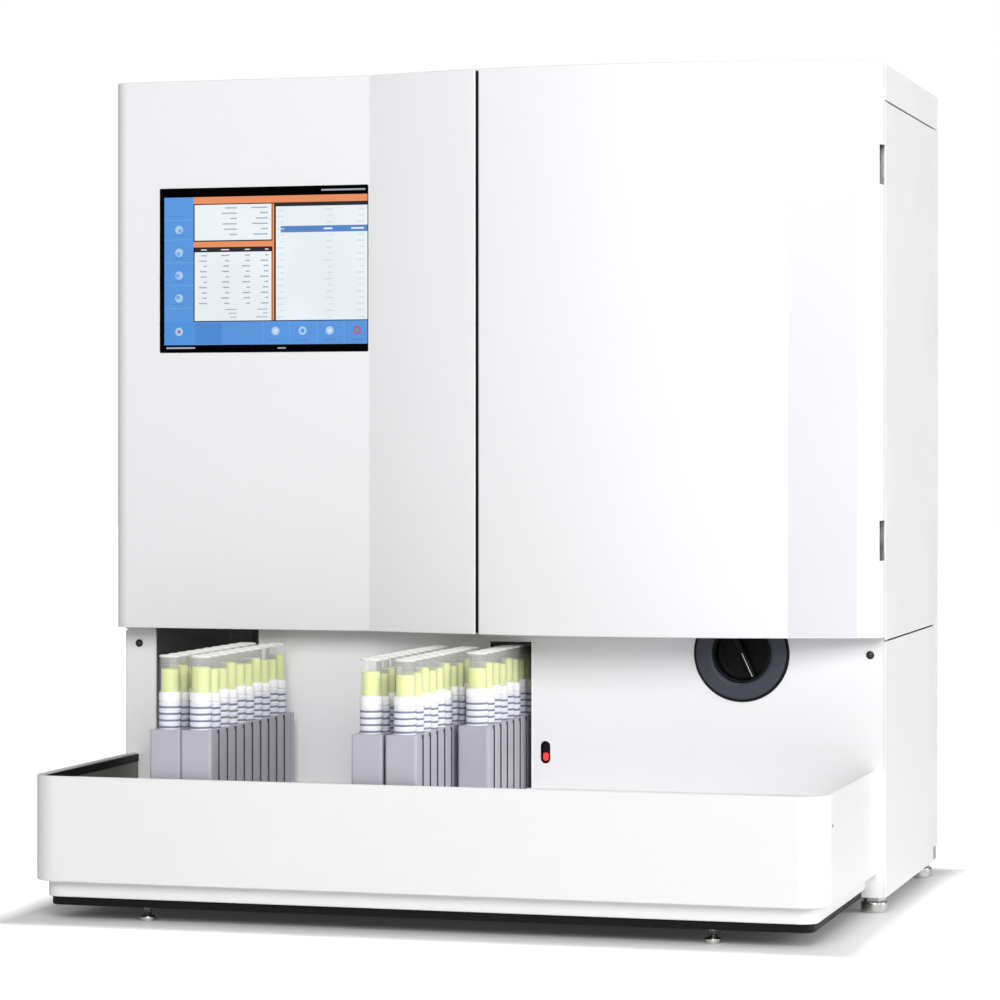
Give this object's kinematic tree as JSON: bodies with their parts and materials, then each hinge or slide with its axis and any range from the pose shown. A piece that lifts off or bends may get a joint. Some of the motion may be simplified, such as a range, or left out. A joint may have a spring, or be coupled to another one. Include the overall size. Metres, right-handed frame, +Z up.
{
  "type": "urine analyzer",
  "caption": "Bench-top urine analyzer: tall two-door cabinet with a touch screen and a bowed front, over an open tray that carries racks of sample tubes.",
  "frame": {"origin": "on the bench, under the middle of the whole bounding box", "axes": "+Z up, -Y the front with the tray and doors, +X to the right seen from the front"},
  "size_m": [0.63, 0.49, 0.658],
  "materials": {
    "cabinet_paint": "satin white powder coat with a trace of warm grey",
    "door_paint": "satin white lacquer, smooth",
    "tray_paint": "satin white lacquer",
    "galvanised": "plain zinc-plated sheet and bright steel",
    "foot_steel": "turned bright steel",
    "black_trim": "matt black plastic",
    "dark_liner": "dark olive-black plastic lining",
    "deck_plastic": "pale grey plastic deck",
    "rack_plastic": "lavender-grey moulded plastic",
    "tube_glass": "clear tube wall",
    "screen_glass": "gloss black touch screen glass",
    "slate_plastic": "dark slate moulded plastic, satin",
    "grey_plastic": "mid grey moulded plastic",
    "roller_plastic": "off-white acetal",
    "board_green": "green circuit board with black chips",
    "bottle_plastic": "translucent white polyethylene"
  },
  "bodies": {
    "root": {"arm_column": "galvanised", "base_plate": "galvanised", "cabinet_feet": "foot_steel", "data_ports": "black_trim", "deck_guides": "deck_plastic", "door_magnets": "black_trim", "drum_motor": "galvanised", "fan_housing": "black_trim", "frame_rails": "galvanised", "frame_uprights": "galvanised", "hinge_brackets": "galvanised", "lane_decks": "galvanised", "left_lower_side": "cabinet_paint", "left_upper_side": "cabinet_paint", "lower_front_panel": "cabinet_paint", "main_board": "board_green", "mid_deck": "galvanised", "panel_screws": "galvanised", "photometer_head": "grey_plastic", "power_inlet": "black_trim", "power_supply": "galvanised", "pump_body": "grey_plastic", "rear_cover": "cabinet_paint", "right_lower_side": "cabinet_paint", "right_upper_side": "cabinet_paint", "rocker_frame": "black_trim", "strip_port_ring": "slate_plastic", "strip_track": "grey_plastic", "supply_bottles": "bottle_plastic", "top_cover": "cabinet_paint", "tray_base": "tray_paint", "tray_deck": "deck_plastic", "tray_feet": "foot_steel", "tray_liner": "dark_liner", "tray_plinth": "black_trim", "tray_shell": "tray_paint"},
    "left_door": {"left_door_skin": "door_paint", "left_door_liner": "galvanised", "left_hinge_leaves": "galvanised", "display_glass": "screen_glass"},
    "right_door": {"right_door_skin": "door_paint", "right_door_liner": "galvanised", "right_hinge_leaves": "galvanised"},
    "port_cap": {"strip_port_cap": "slate_plastic"},
    "drum": {"strip_drum": "grey_plastic"},
    "rocker": {"power_rocker": "black_trim"},
    "sampling_arm": {"arm_carriage": "grey_plastic", "probe_needle": "galvanised"},
    "pump_rotor": {"pump_rotor": "roller_plastic"},
    "fan_rotor": {"fan_rotor": "black_trim"},
    "rack_a": {"rack_a": "rack_plastic", "rack_a_tubes": "tube_glass"},
    "rack_b": {"rack_b": "rack_plastic", "rack_b_tubes": "tube_glass"},
    "rack_c": {"rack_c": "rack_plastic", "rack_c_tubes": "tube_glass"},
    "rack_d": {"rack_d": "rack_plastic", "rack_d_tubes": "tube_glass"},
    "rack_e": {"rack_e": "rack_plastic", "rack_e_tubes": "tube_glass"}
  },
  "joints": [
    {"name": "left_door_hinge", "type": "hinge", "parent": "root", "child": "left_door", "pos_m": [-0.308, -0.039, 0.436], "axis": [0, 0, -1], "range_deg": [0, 100]},
    {"name": "right_door_hinge", "type": "hinge", "parent": "root", "child": "right_door", "pos_m": [0.308, -0.039, 0.436], "axis": [0, 0, 1], "range_deg": [0, 100]},
    {"name": "port_cap_turn", "type": "hinge", "parent": "root", "child": "port_cap", "pos_m": [0.2016, -0.03, 0.1997], "axis": [0, 1, 0], "range_deg": [0, 90]},
    {"name": "drum_spin", "type": "hinge", "parent": "root", "child": "drum", "pos_m": [0.2016, 0.02, 0.1997], "axis": [0, 1, 0], "continuous": true},
    {"name": "power_rocker_tilt", "type": "hinge", "parent": "root", "child": "rocker", "pos_m": [0.0426, -0.024, 0.1185], "axis": [1, 0, 0], "range_deg": [-7, 7]},
    {"name": "sampling_arm_lift", "type": "slide", "parent": "root", "child": "sampling_arm", "axis": [0, 0, 1], "range_m": [-0.075, 0.118]},
    {"name": "pump_spin", "type": "hinge", "parent": "root", "child": "pump_rotor", "pos_m": [0.18, 0.05, 0.2905], "axis": [0, 1, 0], "continuous": true},
    {"name": "fan_spin", "type": "hinge", "parent": "root", "child": "fan_rotor", "pos_m": [0.15, 0.225, 0.47], "axis": [0, 1, 0], "continuous": true},
    {"name": "rack_a_slide", "type": "slide", "parent": "root", "child": "rack_a", "axis": [1, 0, 0], "range_m": [-0.075, 0]},
    {"name": "rack_b_slide", "type": "slide", "parent": "root", "child": "rack_b", "axis": [1, 0, 0], "range_m": [-0.075, 0]},
    {"name": "rack_c_slide", "type": "slide", "parent": "root", "child": "rack_c", "axis": [1, 0, 0], "range_m": [-0.1, 0]},
    {"name": "rack_d_slide", "type": "slide", "parent": "root", "child": "rack_d", "axis": [1, 0, 0], "range_m": [-0.1, 0]},
    {"name": "rack_e_slide", "type": "slide", "parent": "root", "child": "rack_e", "axis": [0, 1, 0], "range_m": [-0.094, 0.094]}
  ],
  "couplings": [
    {"joint": "rack_a_slide", "follows": "rack_b_slide", "ratio": 1},
    {"joint": "rack_c_slide", "follows": "rack_d_slide", "ratio": 1}
  ]
}
